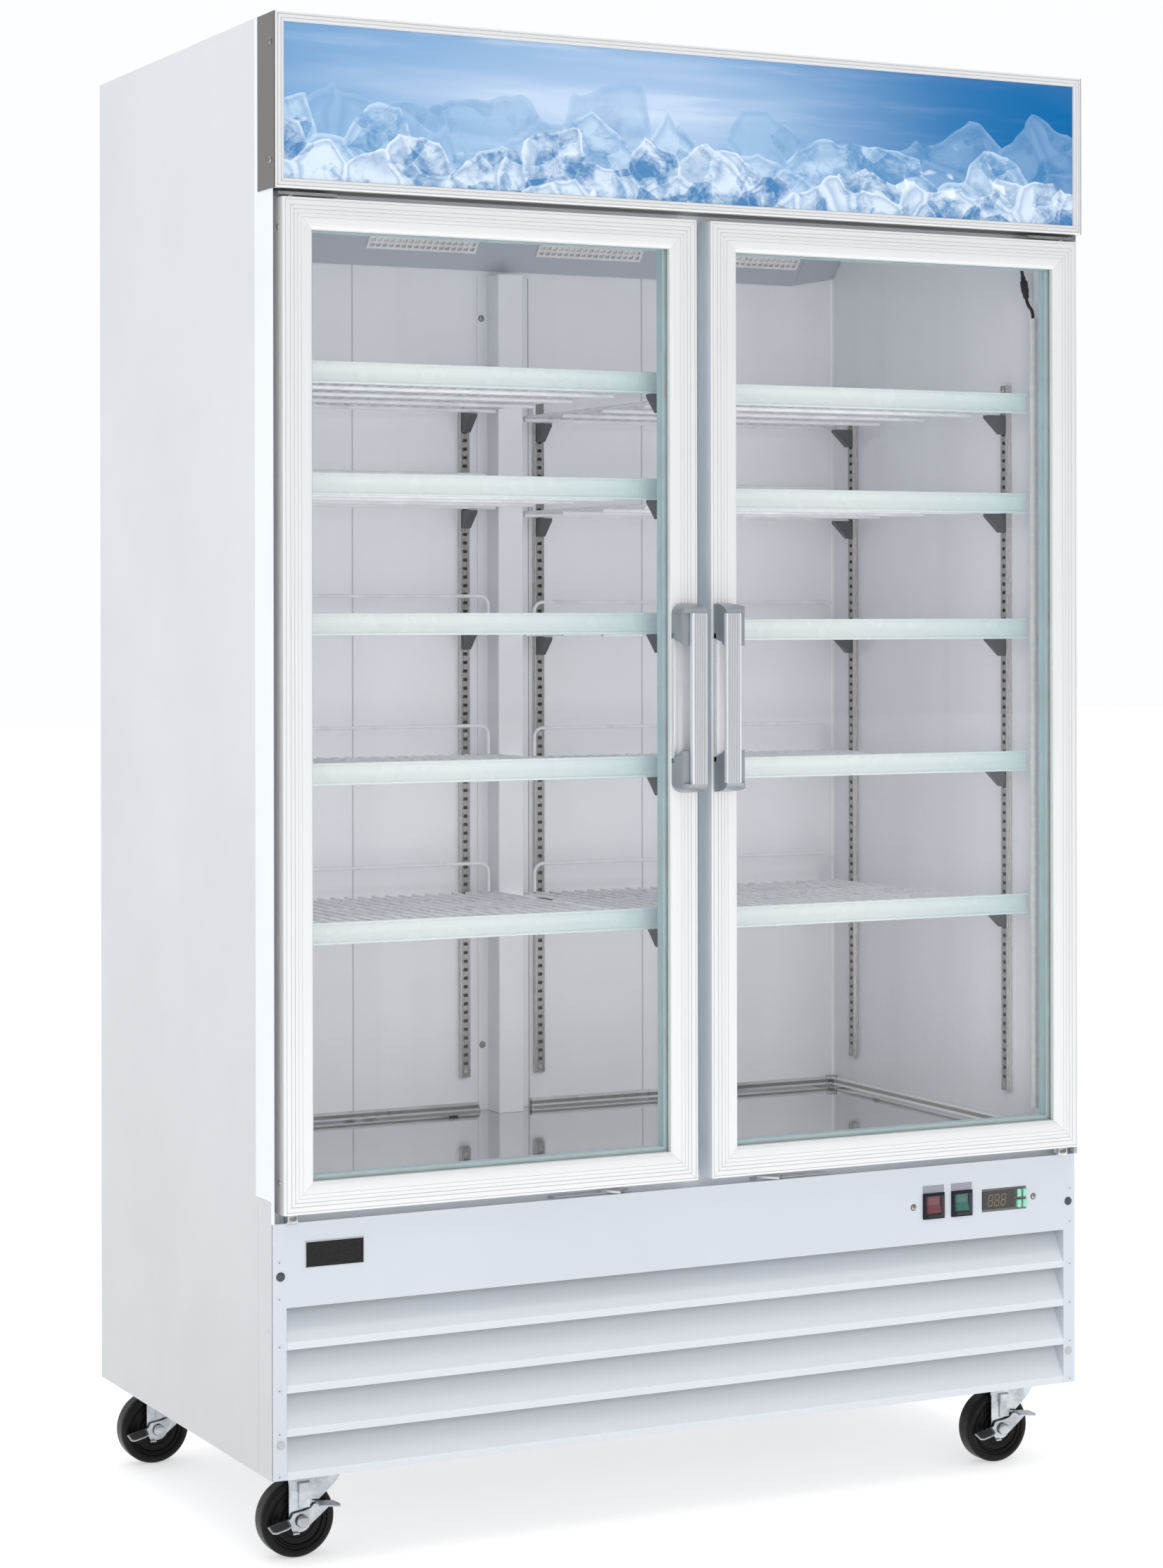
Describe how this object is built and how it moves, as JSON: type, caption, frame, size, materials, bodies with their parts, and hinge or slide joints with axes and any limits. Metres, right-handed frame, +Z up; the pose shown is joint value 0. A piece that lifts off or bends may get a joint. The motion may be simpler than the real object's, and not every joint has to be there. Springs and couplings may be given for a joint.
{
  "type": "glass door merchandiser",
  "caption": "Upright display cooler with hinged glass doors, lit sign header, adjustable wire shelves, louvred base and braked swivel casters.",
  "frame": {"origin": "on the floor under the centre of the bounding box, where the wheels stand", "axes": "+X to the right when facing the doors, +Y to the back, +Z up"},
  "size_m": [1.2256, 0.716, 1.96],
  "materials": {
    "white_paint": "satin",
    "galvanised": "satin",
    "foam": "matte",
    "liner_white": "satin",
    "stainless": "satin",
    "dark_plastic": "matte",
    "white_wire": "satin",
    "aqua_strip": "gloss",
    "sign_side": "satin",
    "white_aluminium": "satin",
    "sign_face": "gloss",
    "steel": "polished",
    "clear_plastic": "gloss",
    "black_lead": "matte",
    "grey_bezel": "matte",
    "green_button": "gloss",
    "black_bezel": "gloss",
    "red_rocker": "gloss",
    "green_rocker": "gloss",
    "cover_plastic": "satin",
    "aluminium_fins": "satin",
    "fan_plastic": "matte",
    "black_paint": "satin",
    "glass": "gloss",
    "gasket_rubber": "matte",
    "handle_metal": "satin",
    "zinc": "satin",
    "wheel_plastic": "satin"
  },
  "bodies": {
    "cabinet": {"back_panel": "white_paint", "base_pan": "galvanised", "caster_plates": "zinc", "compressor": "black_paint", "condenser_coil": "aluminium_fins", "condenser_shroud": "galvanised", "controller_case": "grey_bezel", "evaporator_coil": "aluminium_fins", "evaporator_cover": "cover_plastic", "floor_pan": "stainless", "foam_insulation": "foam", "front_frame": "white_paint", "grille_panel": "white_paint", "hinge_brackets": "steel", "inner_liner": "liner_white", "led_leads": "black_lead", "led_lights": "clear_plastic", "mullion": "white_paint", "panel_fasteners": "steel", "price_strips": "aqua_strip", "rear_column": "white_paint", "roof_panel": "white_paint", "shelf_clips": "dark_plastic", "shelf_standards": "stainless", "shelves_left": "white_wire", "shelves_right": "white_wire", "side_panels": "white_paint", "sign_frame": "white_aluminium", "sign_housing": "sign_side", "sign_panel": "sign_face", "switch_bezels": "black_bezel"},
    "door_left": {"door_frame_left": "white_aluminium", "door_glass_left": "glass", "door_gasket_left": "gasket_rubber", "door_handle_left": "handle_metal"},
    "door_right": {"door_frame_right": "white_aluminium", "door_glass_right": "glass", "door_gasket_right": "gasket_rubber", "door_handle_right": "handle_metal"},
    "button_1": {"controller_button_1": "green_button"},
    "button_2": {"controller_button_2": "green_button"},
    "button_3": {"controller_button_3": "green_button"},
    "button_4": {"controller_button_4": "green_button"},
    "power_rocker": {"power_rocker": "red_rocker"},
    "light_rocker": {"light_rocker": "green_rocker"},
    "evaporator_fan_left": {"evaporator_fan_left": "fan_plastic"},
    "evaporator_fan_right": {"evaporator_fan_right": "fan_plastic"},
    "condenser_fan": {"condenser_fan": "fan_plastic"},
    "caster_swivel_front_left": {"caster_fork_front_left": "zinc"},
    "caster_roller_front_left": {"caster_wheel_front_left": "wheel_plastic"},
    "caster_lever_front_left": {"caster_brake_front_left": "zinc"},
    "caster_swivel_front_right": {"caster_fork_front_right": "zinc"},
    "caster_roller_front_right": {"caster_wheel_front_right": "wheel_plastic"},
    "caster_lever_front_right": {"caster_brake_front_right": "zinc"},
    "caster_swivel_rear_left": {"caster_fork_rear_left": "zinc"},
    "caster_roller_rear_left": {"caster_wheel_rear_left": "wheel_plastic"},
    "caster_lever_rear_left": {"caster_brake_rear_left": "zinc"},
    "caster_swivel_rear_right": {"caster_fork_rear_right": "zinc"},
    "caster_roller_rear_right": {"caster_wheel_rear_right": "wheel_plastic"},
    "caster_lever_rear_right": {"caster_brake_rear_right": "zinc"}
  },
  "joints": [
    {"name": "door_left_hinge", "type": "hinge", "parent": "cabinet", "child": "door_left", "pos_m": [-0.584, -0.306, 0.45], "axis": [0, 0, -1], "range_deg": [0, 110]},
    {"name": "door_right_hinge", "type": "hinge", "parent": "cabinet", "child": "door_right", "pos_m": [0.584, -0.306, 0.45], "axis": [0, 0, 1], "range_deg": [0, 110]},
    {"name": "button_1_press", "type": "slide", "parent": "cabinet", "child": "button_1", "axis": [0, 1, 0], "range_m": [0, 0.0012], "stiffness_N_per_m": 400},
    {"name": "button_2_press", "type": "slide", "parent": "cabinet", "child": "button_2", "axis": [0, 1, 0], "range_m": [0, 0.0012], "stiffness_N_per_m": 400},
    {"name": "button_3_press", "type": "slide", "parent": "cabinet", "child": "button_3", "axis": [0, 1, 0], "range_m": [0, 0.0012], "stiffness_N_per_m": 400},
    {"name": "button_4_press", "type": "slide", "parent": "cabinet", "child": "button_4", "axis": [0, 1, 0], "range_m": [0, 0.0012], "stiffness_N_per_m": 400},
    {"name": "power_rocker_tilt", "type": "hinge", "parent": "cabinet", "child": "power_rocker", "pos_m": [0.37225, -0.294, 0.382], "axis": [1, 0, 0], "range_deg": [0, 16]},
    {"name": "light_rocker_tilt", "type": "hinge", "parent": "cabinet", "child": "light_rocker", "pos_m": [0.4185, -0.294, 0.382], "axis": [1, 0, 0], "range_deg": [0, 16]},
    {"name": "evaporator_fan_left_spin", "type": "hinge", "parent": "cabinet", "child": "evaporator_fan_left", "pos_m": [-0.14, 0.228, 1.838], "axis": [0, -0.7547, -0.6561], "continuous": true},
    {"name": "evaporator_fan_right_spin", "type": "hinge", "parent": "cabinet", "child": "evaporator_fan_right", "pos_m": [0.136, 0.228, 1.838], "axis": [0, -0.7547, -0.6561], "continuous": true},
    {"name": "condenser_fan_spin", "type": "hinge", "parent": "cabinet", "child": "condenser_fan", "pos_m": [0.2, -0.126, 0.255], "axis": [0, -1, 0], "continuous": true},
    {"name": "swivel_front_left", "type": "hinge", "parent": "cabinet", "child": "caster_swivel_front_left", "pos_m": [-0.533, -0.24, 0.107], "axis": [0, 0, 1], "continuous": true},
    {"name": "wheel_spin_front_left", "type": "hinge", "parent": "caster_swivel_front_left", "child": "caster_roller_front_left", "pos_m": [-0.555, -0.24, 0.05], "axis": [0, 1, 0], "continuous": true},
    {"name": "brake_lever_front_left", "type": "hinge", "parent": "caster_swivel_front_left", "child": "caster_lever_front_left", "pos_m": [-0.555, -0.24, 0.05], "axis": [0, 1, 0], "range_deg": [0, 15]},
    {"name": "swivel_front_right", "type": "hinge", "parent": "cabinet", "child": "caster_swivel_front_right", "pos_m": [0.533, -0.24, 0.107], "axis": [0, 0, 1], "continuous": true},
    {"name": "wheel_spin_front_right", "type": "hinge", "parent": "caster_swivel_front_right", "child": "caster_roller_front_right", "pos_m": [0.511, -0.24, 0.05], "axis": [0, 1, 0], "continuous": true},
    {"name": "brake_lever_front_right", "type": "hinge", "parent": "caster_swivel_front_right", "child": "caster_lever_front_right", "pos_m": [0.511, -0.24, 0.05], "axis": [0, 1, 0], "range_deg": [0, 15]},
    {"name": "swivel_rear_left", "type": "hinge", "parent": "cabinet", "child": "caster_swivel_rear_left", "pos_m": [-0.533, 0.298, 0.107], "axis": [0, 0, 1], "continuous": true},
    {"name": "wheel_spin_rear_left", "type": "hinge", "parent": "caster_swivel_rear_left", "child": "caster_roller_rear_left", "pos_m": [-0.555, 0.298, 0.05], "axis": [0, 1, 0], "continuous": true},
    {"name": "brake_lever_rear_left", "type": "hinge", "parent": "caster_swivel_rear_left", "child": "caster_lever_rear_left", "pos_m": [-0.555, 0.298, 0.05], "axis": [0, 1, 0], "range_deg": [0, 15]},
    {"name": "swivel_rear_right", "type": "hinge", "parent": "cabinet", "child": "caster_swivel_rear_right", "pos_m": [0.533, 0.298, 0.107], "axis": [0, 0, 1], "continuous": true},
    {"name": "wheel_spin_rear_right", "type": "hinge", "parent": "caster_swivel_rear_right", "child": "caster_roller_rear_right", "pos_m": [0.511, 0.298, 0.05], "axis": [0, 1, 0], "continuous": true},
    {"name": "brake_lever_rear_right", "type": "hinge", "parent": "caster_swivel_rear_right", "child": "caster_lever_rear_right", "pos_m": [0.511, 0.298, 0.05], "axis": [0, 1, 0], "range_deg": [0, 15]}
  ]
}
